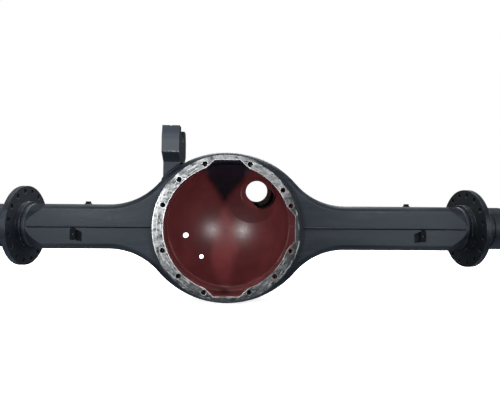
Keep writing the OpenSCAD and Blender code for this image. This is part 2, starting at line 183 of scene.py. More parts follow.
# Where the looks change, in metres: each pair says where a mask starts and where it is full
BANJO_TO_ARM = (0.24, 0.62)
RIGHT_END = (0.70, 0.83)
BRACKET_BACK = (BRACKET_Y + 0.05, BRACKET_Y + 0.07)
BAND_TOP, BAND_FOOT = (0.322, 0.290), (0.248, 0.258)
LEG_TOP = (0.236, 0.226)
CHIPS_TOP, CHIPS_FOOT, CHIPS_OUTER = (0.2575, 0.2550), (0.2490, 0.2500), (-0.215, -0.205)
# Height at which the seam beads' painted highlight begins
SEAM_PAINTED_HIGHLIGHT = (0.0006, 0.0020)
MOUTH_LOW = (0.0, -0.08)
LIP_PAINTED_SHADE, RIM_PAINTED_SHADE = (-0.035, -0.009), (0.064, 0.070)
PORT_LEFT = (0.066, 0.054)
LINE_FOOT, LINE_TOP, LINE_REACH = (0.094, 0.104), (0.142, 0.130), (0.0634, 0.0644)
# Ring face: lighter at the left and top, darker at the bottom and right, partly wear and stains and partly
# painted light and shade
WIPED_AND_LIT_LEFT, WIPED_AND_LIT_TOP = (-0.165, -0.225), (0.185, 0.235)
OILY_AND_SHADED_BOTTOM, STAINED_AND_SHADED_RIGHT = (-0.200, -0.230), (0.175, 0.215)
PAINTED_RIGHT, PAINT_NARROWS = (0.04, 0.11), (-0.06, 0.02)
PAINT_LINE, PAINT_FULL, PAINTED_RIM = (0.2318, 0.2328), (0.2350, 0.2365), (0.2408, 0.2420)
RIM_BELOW, RIM_ABOVE = (-0.06, -0.15), (0.10, 0.16)

# Wedge of painted shade in the top of the dome, where the lamps' shadows meet: its lowest point, how far
# its sides lean, and how wide they fade
WEDGE_X, WEDGE_Z = -0.025, 0.099
WEDGE_LEFT, WEDGE_RIGHT = 0.67, 1.03
WEDGE_SIDE_FADE, WEDGE_FOOT_FADE = 0.014, 0.02

# Tint of the paint's gloss, then the tones that the primer goes over to: painted shade, a painted
# highlight, and the blue-black painted shade of the wedge in the dome's top
COOL = (0.78, 0.90, 1.0, 1)
PAINTED_SHADE_TONE = (0.014, 0.0024, 0.0034, 1)
PAINTED_HIGHLIGHT_PINK = (0.42, 0.22, 0.21, 1)
PAINTED_SHADE_BLUE = (0.036, 0.049, 0.078, 1)


class Graph:
    """Shorthand for building the nodes of one material, or of the world."""

    def __init__(self, name, world=False):
        self.owner = (bpy.data.worlds if world else bpy.data.materials).new(name)
        self.owner.use_nodes = True
        self.nodes = self.owner.node_tree.nodes
        self.links = self.owner.node_tree.links
        self.shader = self.nodes["Background" if world else "Principled BSDF"]

    def add(self, kind, settings=None, **inputs):
        node = self.nodes.new("ShaderNode" + kind)
        for key, value in (settings or {}).items():
            setattr(node, key, value)
        for key, value in inputs.items():
            self.put(node.inputs[key.replace("_", " ")], value)
        return node

    def put(self, socket, value):
        if isinstance(value, bpy.types.NodeSocket):
            self.links.new(value, socket)
        else:
            socket.default_value = value

    def place(self):
        return self.add("TexCoord").outputs["Object"]

    def axes(self, vector):
        """The vector's x, y and z."""
        node = self.add("SeparateXYZ", Vector=vector)
        return [node.outputs[axis] for axis in "XYZ"]

    def noise(self, place, scale, detail=4.0, roughness=0.55):
        node = self.add("TexNoise", Vector=place, Scale=scale, Detail=detail, Roughness=roughness)
        return node.outputs["Fac"]

    def span(self, value, low, high, to_low=0.0, to_high=1.0):
        """Goes from to_low to to_high while the value goes from low to high."""
        node = self.add("MapRange", Value=value)
        node.inputs["From Min"].default_value = low
        node.inputs["From Max"].default_value = high
        node.inputs["To Min"].default_value = to_low
        node.inputs["To Max"].default_value = to_high
        return node.outputs["Result"]

    def math(self, operation, a, b=0.0):
        node = self.add("Math", {"operation": operation})
        self.put(node.inputs[0], a)
        self.put(node.inputs[1], b)
        return node.outputs[0]

    def plus(self, a, b):
        return self.math("ADD", a, b)

    def minus(self, a, b):
        return self.math("SUBTRACT", a, b)

    def times(self, a, b):
        return self.math("MULTIPLY", a, b)

    def larger(self, a, b):
        return self.math("MAXIMUM", a, b)

    def vectors(self, operation, a, b):
        node = self.add("VectorMath", {"operation": operation})
        self.put(node.inputs[0], a)
        self.put(node.inputs[1], b)
        return node

    def length(self, vector):
        return self.add("VectorMath", {"operation": "LENGTH"}, Vector=vector).outputs["Value"]

    def mix(self, factor, a, b):
        node = self.add("Mix", {"data_type": "RGBA"})
        self.put(node.inputs[0], factor)
        self.put(node.inputs[6], a)
        self.put(node.inputs[7], b)
        return node.outputs[2]

    def stretch(self, place, scale):
        node = self.add("Mapping", Vector=place)
        node.inputs["Scale"].default_value = scale
        return node.outputs["Vector"]

    def bump(self, height, strength, distance, normal=None):
        node = self.add("Bump", Height=height, Strength=strength, Distance=distance)
        if normal is not None:
            self.put(node.inputs["Normal"], normal)
        return node.outputs["Normal"]

    def flat_normal(self):
        return self.add("NewGeometry").outputs["Normal"]

    def round_edges(self, radius):
        return self.add("Bevel", {"samples": 6}, Radius=radius).outputs["Normal"]

    def edge_mask(self, radius):
        """Mask for the strip of that radius along sharp edges."""
        dot = self.vectors("DOT_PRODUCT", self.round_edges(radius), self.flat_normal())
        return self.span(dot.outputs["Value"], 0.995, 0.90)

    def gloss(self, level, tint):
        self.shader.inputs["Specular IOR Level"].default_value = level
        self.shader.inputs["Specular Tint"].default_value = tint

    def finish(self, colour, roughness, normal, metallic=0.0):
        self.put(self.shader.inputs["Base Color"], colour)
        self.put(self.shader.inputs["Roughness"], roughness)
        self.put(self.shader.inputs["Normal"], normal)
        self.put(self.shader.inputs["Metallic"], metallic)
        return self.owner


def bracket_dust(g, place, facing_x, settled, behind, paint):
    """Adds to the paint what only the bracket has: a pale band, a dusty leg, chips on its lower edge
    and grey sides and rear part, which are painted light and shade."""
    x, _, z = g.axes(place)
    band = g.times(g.span(z, *BAND_TOP), g.span(z, *BAND_FOOT))
    paint = g.mix(g.times(band, settled), paint, (0.062, 0.068, 0.078, 1))
    leg = g.times(settled, g.span(z, *LEG_TOP, 0.0, 0.4))
    paint = g.mix(leg, paint, (0.050, 0.055, 0.063, 1))
    low_edge = g.times(g.span(z, *CHIPS_TOP), g.span(z, *CHIPS_FOOT))
    chips = g.times(low_edge, g.span(g.noise(place, 130.0, 3.0), 0.46, 0.58))
    inboard = g.times(settled, g.span(x, *CHIPS_OUTER))
    paint = g.mix(g.times(chips, inboard), paint, (0.15, 0.155, 0.16, 1))
    # Painted light and shade: the sides and the part behind the front lug go over to one grey, by which way
    # they face
    sides_and_rear_painted_light = g.larger(behind, g.span(facing_x, 0.5, 0.9))
    return g.mix(g.times(sides_and_rear_painted_light, 0.75), paint, (0.020, 0.0235, 0.025, 1))


def charcoal_paint(name, dust=0.0):
    """Satin paint, darkest round the banjo. With dust, which dulls it, it is the bracket's paint."""
    g = Graph(name)
    place = g.place()
    x, y, _ = g.axes(place)
    facing_x, _, facing_z = g.axes(g.flat_normal())
    patches = g.noise(place, 5.0, 6.0, 0.6)
    cloud = g.noise(g.stretch(place, (3.0, 9.0, 22.0)), 1.0, 5.0, 0.6)
    grain = g.noise(place, 900.0, 2.0)
    peel = g.noise(place, 160.0, 3.0)
    arm = g.mix(g.span(patches, 0.35, 0.68), (0.0065, 0.0080, 0.0112, 1), (0.0115, 0.0135, 0.0180, 1))
    banjo = g.mix(g.span(g.math("ABSOLUTE", x), *BANJO_TO_ARM), (0.0040, 0.0052, 0.0080, 1), arm)
    base = g.mix(g.span(x, *RIGHT_END, 0.0, 0.8), banjo, (0.0030, 0.0036, 0.0046, 1))
    dull = g.span(cloud, 0.44 - dust / 2, 0.70 - dust / 2, dust / 2, 0.6 + dust / 2)
    level = g.span(g.math("ABSOLUTE", facing_x), 0.90, 0.60)
    settled = g.times(level, g.span(facing_z, -0.95, -0.30))
    if dust:
        # No dust behind the front lug, which keeps that part darker as painted shade; bracket_dust then
        # tones it grey
        behind = g.span(y, *BRACKET_BACK)
        settled = g.times(settled, g.span(behind, 0.0, 1.0, 1.0, 0.0))
    pale = tuple(c * (1.0 + 0.5 * dust) for c in (0.024, 0.028, 0.036)) + (1,)
    dusty = g.mix(g.times(dull, settled), base, pale)
    if dust:
        dusty = bracket_dust(g, place, facing_x, settled, behind, dusty)
    worn = g.times(g.edge_mask(0.0022), g.span(g.noise(place, 55.0, 5.0, 0.7), 0.50, 0.64))
    colour = g.mix(worn, dusty, (0.11, 0.112, 0.116, 1))
    rough = g.span(g.plus(cloud, g.times(peel, 0.35)), 0.45, 0.90, 0.40, 0.60)
    normal = g.bump(peel, 0.16, 0.0012, g.bump(grain, 0.05, 0.0004, g.round_edges(0.0018)))
    g.gloss(0.22 * (1.0 - dust) ** 2, COOL)
    return g.finish(colour, rough, normal)


def weld_paint():
    """The same paint over weld beads and their spatter."""
    g = Graph("weld_paint")
    place = g.place()
    patches = g.noise(place, 28.0, 5.0, 0.6)
    spatter = g.noise(place, 240.0, 4.0, 0.65)
    colour = g.mix(g.span(patches, 0.35, 0.70), (0.0070, 0.0085, 0.0115, 1), (0.0140, 0.0160, 0.0205, 1))
    rough = g.span(spatter, 0.35, 0.70, 0.38, 0.56)
    g.gloss(0.25, COOL)
    return g.finish(colour, rough, g.bump(spatter, 0.35, 0.0012))


def seam_painted_light_and_shade():
    """Paint on the seam beads, with a painted highlight above the joint and a painted shadow at the lower
    toe.
    """
    g = Graph("seam_painted_light_and_shade")
    place = g.place()
    z = g.axes(place)[2]
    spatter = g.noise(place, 240.0, 4.0, 0.65)
    # Painted highlight above the joint; below it, painted shadow
    upper = g.span(g.plus(z, g.times(spatter, 0.002)), *SEAM_PAINTED_HIGHLIGHT)
    colour = g.mix(upper, (0.0012, 0.0014, 0.0020, 1), (0.0200, 0.0225, 0.0280, 1))
    g.gloss(0.10, COOL)
    return g.finish(colour, g.span(spatter, 0.35, 0.70, 0.40, 0.60), g.bump(spatter, 0.30, 0.0010))


def red_primer(name, depth=0.0, mask=None, tone=PAINTED_SHADE_TONE, bare=None, line=None):
    """Red oxide primer that goes over to tone by depth, or where mask says: a dark tone is painted shade
    and a light one a painted highlight. Its edges are worn and lighter, partly as painted highlight;
    bare tells which of its edges are worn, and line where else such a light line is."""
    g = Graph(name)
    place = g.place()
    patches = g.noise(place, 7.0, 6.0, 0.6)
    runs = g.noise(g.stretch(place, (34.0, 34.0, 5.0)), 1.0, 4.0, 0.55)
    peel = g.noise(place, 120.0, 3.0)
    base = g.mix(g.span(patches, 0.34, 0.70), (0.088, 0.0170, 0.0190, 1), (0.140, 0.0265, 0.0275, 1))
    colour = g.mix(g.span(runs, 0.52, 0.78, 0.0, 0.5), base, (0.070, 0.014, 0.017, 1))
    # Worn, lighter edges, partly a painted highlight along sharp edges
    edge = g.times(g.edge_mask(0.0018), g.span(g.noise(place, 14.0, 4.0, 0.6), 0.44, 0.60))
    if bare:
        edge = g.times(edge, bare(g, place))
    if line:
        edge = g.larger(edge, line(g, place))
    # The primer goes over to tone by depth or mask: a dark tone is painted shade, a light one a painted
    # highlight
    painted_shade_and_highlight = g.mix(mask(g, place) if mask else depth, colour, tone)
    worn = g.mix(edge, painted_shade_and_highlight, (0.30, 0.17, 0.15, 1))
    rough = g.span(peel, 0.30, 0.70, 0.33, 0.44)
    g.gloss(0.45, (1, 1, 1, 1))
    return g.finish(worn, rough, g.bump(peel, 0.10, 0.001, g.round_edges(0.0010)))


def lower_right_of_port(where):
    """Makes a mask that grows from the port's upper left to its lower right, for painted shade toward the
    lower right.
    """
    def mask(g, place):
        x, _, z = g.axes(place)
        return g.span(g.minus(g.minus(x, PORT_POINT.x), g.minus(z, PORT_POINT.z)), *where)
    return mask


# Mask for the port's left side, where the primer's edges carry a painted highlight
def left_of_port(g, place):
    return g.span(g.axes(place)[0], *PORT_LEFT)


def rim_painted_highlight(g, place):
    """Mask for the painted highlight: a light line on the left of the port's rim."""
    z = g.axes(place)[2]
    off = g.vectors("SUBTRACT", place, PORT_POINT).outputs["Vector"]
    reach = g.length(g.vectors("CROSS_PRODUCT", off, PORT_AXIS).outputs["Vector"])
    stretch = g.times(g.span(z, *LINE_FOOT), g.span(z, *LINE_TOP))
    return g.times(g.times(stretch, left_of_port(g, place)), g.span(reach, *LINE_REACH))


def painted_highlight_low_in_mouth(g, place):
    """Mask for a painted highlight on the lower part of the dome's mouth, with gaps."""
    z = g.axes(place)[2]
    return g.times(g.span(z, *MOUTH_LOW), g.span(g.noise(place, 16.0, 3.0), 0.40, 0.62, 0.25, 0.85))


def painted_shade_wedge(g, place):
    """Mask for the painted shade: a dark wedge in the top of the dome, where the lamps' shadows meet."""
    x, _, z = g.axes(place)
    across, rise = g.minus(x, WEDGE_X), g.minus(z, WEDGE_Z)
    from_left = g.plus(across, g.times(rise, WEDGE_LEFT))
    from_right = g.minus(g.times(rise, WEDGE_RIGHT), across)
    inside = g.times(g.span(from_left, 0.0, WEDGE_SIDE_FADE), g.span(from_right, 0.0, WEDGE_SIDE_FADE))
    return g.times(inside, g.span(rise, 0.0, WEDGE_FOOT_FADE))


def steel_smeared_and_painted_light(g, place, smear, radius):
    """Bare steel of the ring's face: lighter at the left, the top and the upper right and darker at the
    bottom and the right, partly as wiped and stained steel and partly as painted light and shade; and
    rubbed bright in streaks and along scratches that run round the ring."""
    x, _, z = g.axes(place)
    streaks = g.noise(g.stretch(place, (60.0, 24.0, 18.0)), 1.0, 7.0, 0.68)
    upper_right = g.times(g.span(x, 0.0, 0.1), g.span(g.times(x, z), 0.012, 0.022))
    upper = g.larger(g.span(z, *WIPED_AND_LIT_TOP), g.times(upper_right, 0.6))
    # Lighter at the left, the top and the upper right: wiped steel, and partly painted light
    wiped = g.larger(g.span(x, *WIPED_AND_LIT_LEFT, 0.0, 0.66), upper)
    grey = g.mix(g.span(smear, 0.40, 0.62), (0.020, 0.022, 0.023, 1), (0.160, 0.167, 0.170, 1))
    clean = g.mix(g.times(wiped, g.span(smear, 0.38, 0.56)), grey, (0.30, 0.31, 0.313, 1))
    # Darker at the bottom and the right: oil and stains, and partly painted shade
    stained = g.larger(g.span(z, *OILY_AND_SHADED_BOTTOM, 0.0, 0.55), g.span(x, *STAINED_AND_SHADED_RIGHT, 0.0, 0.95))
    dark = g.larger(g.span(streaks, 0.54, 0.70, 0.0, 0.75), stained)
    smeared = g.mix(dark, clean, (0.028, 0.031, 0.033, 1))
    bright = g.span(g.noise(g.stretch(place, (18.0, 18.0, 60.0)), 1.0, 5.0, 0.7), 0.56, 0.68)
    round_ring = g.times(g.math("ARCTAN2", x, z), 7.0)
    turned = g.add("CombineXYZ", X=round_ring, Y=g.times(radius, 150.0)).outputs[0]
    scratches = g.span(g.noise(turned, 1.0, 4.0, 0.6), 0.55, 0.64, 0.0, 0.8)
    rubbed = g.times(g.larger(bright, scratches), g.span(stained, 0.0, 0.9, 1.0, 0.1))
    return g.mix(rubbed, smeared, (0.42, 0.425, 0.43, 1))


def machined_face():
    """The ring's face: bare steel with shiny edges, which are partly painted highlight; painted on its
    right and on its rim.
    """
    g = Graph("machined_face")
    place = g.place()
    x, _, z = g.axes(place)
    radius = g.length(g.add("CombineXYZ", X=x, Z=z).outputs[0])
    smear = g.noise(g.stretch(place, (30.0, 30.0, 44.0)), 1.0, 8.0, 0.72)
    fine = g.noise(g.stretch(place, (420.0, 60.0, 160.0)), 1.0, 3.0)
    right = g.span(x, *PAINTED_RIGHT)
    chips = g.span(g.noise(place, 30.0, 4.0, 0.6), 0.32, 0.50)
    # Shiny edges: clean steel, and partly a painted highlight
    edge = g.times(g.edge_mask(0.0055), g.times(g.span(right, 0.0, 1.0, 1.0, 0.35), chips))
    shiny = g.mix(edge, steel_smeared_and_painted_light(g, place, smear, radius), (0.66, 0.67, 0.68, 1))
    uneven = g.span(g.noise(place, 26.0, 4.0, 0.6), 0.30, 0.70, -0.004, 0.004)
    ragged = g.plus(radius, g.plus(g.span(z, *PAINT_NARROWS, -0.0075, 0.0), uneven))
    gaps = g.span(g.noise(place, 18.0, 3.0, 0.6), 0.50, 0.60)
    line = g.times(right, g.times(g.span(ragged, *PAINT_LINE), gaps))
    lined = g.mix(line, shiny, (0.25, 0.257, 0.26, 1))
    rim = g.times(g.larger(g.span(z, *RIM_BELOW), g.span(z, *RIM_ABOVE)), g.span(radius, *PAINTED_RIM))
    painted = g.larger(rim, g.times(right, g.span(ragged, *PAINT_FULL)))
    face = g.mix(painted, lined, (0.0085, 0.0100, 0.0135, 1))
    rough = g.span(smear, 0.30, 0.72, 0.58, 0.34)
    normal = g.bump(fine, 0.10, 0.0006, g.round_edges(0.0012))
    g.gloss(0.12, COOL)
    return g.finish(face, rough, normal, g.span(painted, 0.0, 1.0, 0.9, 0.0))


def ground_steel():
    """Bearing seats and threads at the spindles' ends."""
    g = Graph("ground_steel")
    place = g.place()
    rings = g.noise(g.stretch(place, (900.0, 4.0, 4.0)), 1.0, 3.0)
    stain = g.noise(place, 24.0, 5.0, 0.6)
    colour = g.mix(g.span(stain, 0.40, 0.72), (0.26, 0.26, 0.256, 1), (0.17, 0.167, 0.162, 1))
    rough = g.span(rings, 0.30, 0.70, 0.30, 0.44)
    return g.finish(colour, rough, g.bump(rings, 0.08, 0.0004), 1.0)


def black_paint(name, level):
    g = Graph(name)
    place = g.place()
    patches = g.noise(place, 40.0, 5.0, 0.6)
    colour = g.mix(g.span(patches, 0.35, 0.70), (0.0018, 0.0020, 0.0026, 1), (0.0046, 0.0050, 0.0062, 1))
    rough = g.span(patches, 0.30, 0.70, 0.50, 0.68)
    g.gloss(level, COOL)
    return g.finish(colour, rough, g.bump(patches, 0.10, 0.0006, g.round_edges(0.0008)))


def bored_steel():
    """Oily walls of the ring's holes."""
    g = Graph("bored_steel")
    place = g.place()
    oil = g.noise(place, 70.0, 4.0, 0.6)
    colour = g.mix(g.span(oil, 0.35, 0.70), (0.022, 0.022, 0.022, 1), (0.070, 0.069, 0.068, 1))
    rough = g.span(oil, 0.30, 0.70, 0.30, 0.50)
    return g.finish(colour, rough, g.bump(oil, 0.08, 0.0005), 0.8)


PAINT = charcoal_paint("charcoal_paint")
BRACKET_PAINT = charcoal_paint("bracket_paint", 0.7)
BORED = bored_steel()
BLACK = black_paint("black_paint", 0.06)
PORT_BLACK = black_paint("port_black", 0.0)
WELD = weld_paint()
SEAM_PAINTED_LIGHT = seam_painted_light_and_shade()
PRIMER = red_primer("red_primer")
# Primer inside the dome and the upper shell, with a blue-black painted shade in a wedge at the top
DOME_PRIMER_PAINTED_SHADE = red_primer("dome_primer_painted_shade", mask=painted_shade_wedge, tone=PAINTED_SHADE_BLUE)
# Primer darkened as painted shade, on the swell round the port
PAINTED_SHADE_PRIMER = red_primer("painted_shade_primer", 0.30)
# Port's lip and rim: painted shade toward their lower right, and a painted highlight on their left edges
# and, on the rim, a light line
LIP_PRIMER = red_primer("lip_primer", mask=lower_right_of_port(LIP_PAINTED_SHADE), bare=left_of_port)
RIM_PRIMER = red_primer("rim_primer", mask=lower_right_of_port(RIM_PAINTED_SHADE), bare=left_of_port, line=rim_painted_highlight)
# Primer darkened as painted shade, in the primed holes of the ring
HOLE_PRIMER = red_primer("hole_primer", 0.45)
# Primer with a light line on the lower mouth bead: painted highlight
MOUTH_PRIMER_PAINTED_HIGHLIGHT = red_primer("mouth_primer_painted_highlight", mask=painted_highlight_low_in_mouth, tone=PAINTED_HIGHLIGHT_PINK)
MACHINED = machined_face()
GROUND = ground_steel()


def round_y(angle):
    """Way out from the ring's axis at an angle, in the plane of the ring."""
    return Vector((math.sin(angle), 0.0, math.cos(angle)))


def dress(name, outside, inside=None, is_inside=None):
    """Gives a CAD node its material, and a second one on the faces that is_inside picks."""
    mesh = NODES[name].data
    mesh.materials.clear()
    mesh.materials.append(outside)
    if inside is not None:
        mesh.materials.append(inside)
    for face in mesh.polygons:
        face.material_index = 1 if inside and is_inside(face) else 0


def dress_more(name, material, picks):
    """Adds one more material, on the faces that picks chooses."""
    mesh = NODES[name].data
    mesh.materials.append(material)
    for face in mesh.polygons:
        if picks(face):
            face.material_index = len(mesh.materials) - 1


def faces_axle(face):
    """True for a face that looks toward the axle line: the inside of the shells."""
    from_axle = face.center - AXLE_POINT
    from_axle.x = 0.0
    return face.normal.dot(from_axle) < 0.0


def faces_dome_centre(face):
    """True for the inside of the dome."""
    return face.normal.dot(face.center - AXLE_POINT) < 0.0


def ring_bore(face):
    """True for the ring's bore and reliefs, which primer reached."""
    flat = Vector((face.center.x, 0.0, face.center.z))
    return abs(face.normal.y) < 0.5 and face.normal.dot(flat) < 0.0 and flat.length < RELIEF_R + 2 * SLACK


def ring_hole_wall(angles):
    """Picks the walls and countersinks of the ring's holes that stand at these angles."""
    centres = [round_y(math.radians(angle)) * RING_HOLE_PCD_R for angle in angles]

    def picks(face):
        flat = Vector((face.center.x, 0.0, face.center.z))
        near = any((flat - centre).length < RING_HOLE_REACH for centre in centres)
        return near and abs(face.normal.y) < 0.95
    return picks


def port_hollow(face):
    """True for the port's bearing seat and the opening behind it."""
    off_axis = face.center - PORT_POINT
    off_axis -= PORT_AXIS * off_axis.dot(PORT_AXIS)
    inward = face.normal.dot(off_axis) < -0.5 * off_axis.length
    return off_axis.length < PORT_SEAT_R + SLACK and inward


def port_lip(face):
    """True for the step in the port that the bearing's outer race rests on."""
    off_axis = face.center - PORT_POINT
    depth = off_axis.dot(PORT_AXIS)
    looks_forward = face.normal.dot(PORT_AXIS) < -0.9
    within = (off_axis - PORT_AXIS * depth).length < PORT_SEAT_R
    return depth > PORT_STEP_DEPTH and looks_forward and within


def port_inside_dome(face):
    """True for the end of the port that stands inside the dome, outside its bearing seat."""
    off_axis = face.center - PORT_POINT
    off_axis -= PORT_AXIS * off_axis.dot(PORT_AXIS)
    near = (face.center - AXLE_POINT).length < DOME_R - 4 * SLACK
    outward = face.normal.dot(off_axis) > -0.5 * off_axis.length
    end = face.normal.dot((face.center - AXLE_POINT).normalized()) < -0.9
    return near and (outward or end) and off_axis.length > PORT_SEAT_R - SLACK


def bearing_seat(face):
    """True for the ground seats at a spindle's outer end."""
    return face.center.x < SEAT_LEFT or face.center.x > SEAT_RIGHT


def dress_all():
    for name in NODES:
        dress(name, WELD if "weld" in name else PAINT)
    dress("upper_shell", PAINT, DOME_PRIMER_PAINTED_SHADE, faces_axle)
    dress("lower_shell", PAINT, PRIMER, faces_axle)
    dress("rear_dome", PAINT, DOME_PRIMER_PAINTED_SHADE, faces_dome_centre)
    dress("carrier_ring", MACHINED, PRIMER, ring_bore)
    dress_more("carrier_ring", BORED, ring_hole_wall(set(RING_HOLE_ANGLES) - set(PRIMED_HOLES)))
    dress_more("carrier_ring", HOLE_PRIMER, ring_hole_wall(PRIMED_HOLES))
    dress("through_port", PAINT, RIM_PRIMER, port_inside_dome)
    dress_more("through_port", PORT_BLACK, port_hollow)
    dress_more("through_port", LIP_PRIMER, port_lip)
    dress("rod_bracket", BRACKET_PAINT)
    for side in SIDES:
        dress("pipe_clip_" + side, BLACK)
        dress("top_boss_" + side, BLACK)
        dress("spindle_" + side, PAINT, GROUND, bearing_seat)


def mesh_piece(name, rows, closed, material):
    """Skins a grid of points, one row after the other; closed joins the last row to the first."""
    count = len(rows[0])
    points = [p for row in rows for p in row]
    faces = []
    for i in range(len(rows) if closed else len(rows) - 1):
        a, b = i * count, (i + 1) % len(rows) * count
        faces += [(a + j, a + j + 1, b + j + 1, b + j) for j in range(count - 1)]
    mesh = bpy.data.meshes.new(name)
    mesh.from_pydata(points, [], faces)
    mesh.polygons.foreach_set("use_smooth", [True] * len(faces))
    mesh.materials.append(material)
    piece = bpy.data.objects.new(name, mesh)
    SCENE.collection.objects.link(piece)
    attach(piece, "root")
    return piece


def corner_bead(name, corner, length, bulge, closed=False, node=None, pitch=BEAD_PITCH, finish=WELD):
    """Weld bead laid along corner(t), t from 0 to 1, which gives the root of the weld, its two
    legs as vectors and the way out. The bead is built up from overlapping scales."""
    scales = max(3, round(length / pitch))
    steps = scales * SCALE_STEPS
    rows = []
    for i in range(steps if closed else steps + 1):
        t = i / steps
        root, leg_a, leg_b, out = corner(t)
        along = t * scales
        wander = math.sin(along * 0.37) + math.sin(along * 0.113 + 1.7)
        fade = 1.0 if closed else min(1.0, 0.25 + min(i, steps - i) / SCALE_STEPS / 1.5)
        row = []
        for j in range(BEAD_POINTS):
            a = 2.0 * j / (BEAD_POINTS - 1) - 1.0
            scale = (along + 0.55 * a * a) % 1.0
            crest = 1.0 - scale ** 1.6
            lift = bulge * (1.0 - a * a) * fade * (0.72 + 0.30 * crest + 0.05 * wander)
            spread = 1.0 + 0.05 * crest + 0.03 * wander
            mid = leg_a * (1.0 - a) / 2.0 + leg_b * (1.0 + a) / 2.0
            sink = BEAD_SINK * a ** 8
            row.append(root + mid * spread + out * (lift - sink))
        rows.append(row)
    piece = mesh_piece(name, rows, closed, finish)
    if node:
        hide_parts(node)
    return piece


def ring_bead():
    def corner(t):
        out = round_y(t * TURN)
        root = out * RING_R + Vector((0.0, FRONT_Y, 0.0))
        up_the_rim = Vector((0.0, -RING_BEVEL - RING_LAP, 0.0))
        return root, up_the_rim, out * RING_LEG, out * RING_SPLAY + RING_WAY
    corner_bead("ring_bead", corner, TURN * RING_R, BULGE["ring"], True, "ring_weld", finish=BLACK)


def dome_bead():
    rim = math.sqrt(DOME_OUTER_R ** 2 - HALF_ARM ** 2)

    def corner(t):
        out = round_y(t * TURN)
        root = out * rim + Vector((0.0, REAR_Y, 0.0))
        up = (out * -HALF_ARM + Vector((0.0, rim, 0.0))) / DOME_OUTER_R
        return root, out * DOME_LEG, up * DOME_LEG, out * DOME_SPLAY + DOME_WAY
    corner_bead("dome_bead", corner, TURN * rim, BULGE["dome"], True, "dome_weld")


def mouth_bead():
    """Root run of the weld between the dome and the shells, seen from inside, with a painted highlight on
    its lower part.
    """
    mouth = math.sqrt(DOME_R ** 2 - HALF_ARM ** 2)
    half = Vector((0.0, MOUTH_HALF, 0.0))

    def corner(t):
        out = round_y(t * TURN)
        return out * mouth + Vector((0.0, REAR_Y, 0.0)), half, -half, -out
    bead = corner_bead("mouth_bead", corner, TURN * mouth, BULGE["mouth"], True, finish=MOUTH_PRIMER_PAINTED_HIGHLIGHT)


def out_of_port(angle):
    """Way out from the port's axis at an angle from the right, counted toward the top."""
    e1 = Vector((1.0, 0.0, 0.0))
    return e1 * math.cos(angle) + e1.cross(PORT_AXIS) * math.sin(angle)


def round_port(angle, reach, radius):
    """Point at that angle and reach from the port's axis, on a sphere round the dome's centre."""
    base = PORT_POINT - AXLE_POINT + out_of_port(angle) * reach
    b = base.dot(PORT_AXIS)
    return AXLE_POINT + base + PORT_AXIS * (math.sqrt(b * b - base.length_squared + radius ** 2) - b)


def port_edge():
    """Drawn-in edge of the port's mouth, from its upper right round the left to its bottom."""
    front, back = PORT_END_R - EDGE_LAP, PORT_END_R + EDGE_THICK
    rows = []
    for (a, near), (b, far) in zip(PORT_EDGE, PORT_EDGE[1:]):
        for i in range(EDGE_STEPS):
            angle = math.radians(a + (b - a) * i / EDGE_STEPS)
            inner = near + (far - near) * i / EDGE_STEPS
            bend = min(EDGE_BEND, max(0.0, PORT_SEAT_R - inner) / 2)
            profile = (
                (PORT_SEAT_R + EDGE_ROUND, front), (inner + bend, front), (inner + bend / 2, front),
                (inner, front + EDGE_ROUND), (inner, back), (PORT_SEAT_R + EDGE_LAP, back),
            )
            rows.append([round_port(angle, reach, radius) for reach, radius in profile])
    mesh_piece("port_edge", rows, False, RIM_PRIMER)


def port_swell():
    """Low swell of the dome's inside round the port, widest at its lower left, in primer darkened as
    painted shade.
    """
    rows = []
    for i in range(SWELL_STEPS + 1):
        angle = math.radians(SWELL_FROM + (SWELL_TO - SWELL_FROM) * i / SWELL_STEPS)
        ends = math.sin(math.pi * i / SWELL_STEPS) ** 0.5
        skew = SWELL_SKEW * math.cos(angle - math.radians(SWELL_WIDEST))
        width = ends * (SWELL_WIDTH + skew)
        row = []
        for j in range(SWELL_RINGS + 1):
            u = j / SWELL_RINGS
            lift = SWELL_HEIGHT * ends * (1.0 - u * u) - SWELL_SINK * u
            row.append(round_port(angle, PORT_RIM_R + width * u, DOME_R - lift))
        rows.append(row)
    mesh_piece("port_swell", rows, False, PAINTED_SHADE_PRIMER)


def port_bead():
    """Bead round the port on the outside of the dome, as far as it clears the dome's own weld."""
    def on_dome(angle):
        return round_port(-angle, PORT_R, DOME_OUTER_R)

    def clear(angle):
        return on_dome(angle).y > REAR_Y + PORT_BEAD_CLEARANCE

    step = TURN / PORT_BEAD_STEPS
    first = last = max((i * step for i in range(PORT_BEAD_STEPS)), key=lambda angle: on_dome(angle).y)
    while clear(first - step) and last - first < TURN:
        first -= step
    while clear(last + step) and last - first < TURN:
        last += step

    def corner(t):
        angle = first + (last - first) * t
        out, point = out_of_port(-angle), on_dome(angle)
        normal = (point - AXLE_POINT).normalized()
        away = (out - normal * out.dot(normal)).normalized()
        return point, away * DOME_LEG, PORT_AXIS * PORT_LEG, (away + PORT_AXIS).normalized()
    length = (last - first) * PORT_R * PORT_BEAD_STRETCH
    corner_bead("port_bead", corner, length, BULGE["port"], False, "port_weld")


def girth_bead(side):
    low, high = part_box("girth_weld_" + side)
    middle = Vector(((low.x + high.x) / 2, AXLE_Y, 0.0))
    half = Vector(((high.x - low.x) / 2 + GIRTH_LAP, 0.0, 0.0))

    def corner(t):
        out = Vector((0.0, math.sin(t * TURN), math.cos(t * TURN)))
        return middle + out * NECK_R, half, -half, out
    node = "girth_weld_" + side
    corner_bead("girth_bead_" + side, corner, TURN * NECK_R, BULGE["girth"], True, node, finish=PAINT)


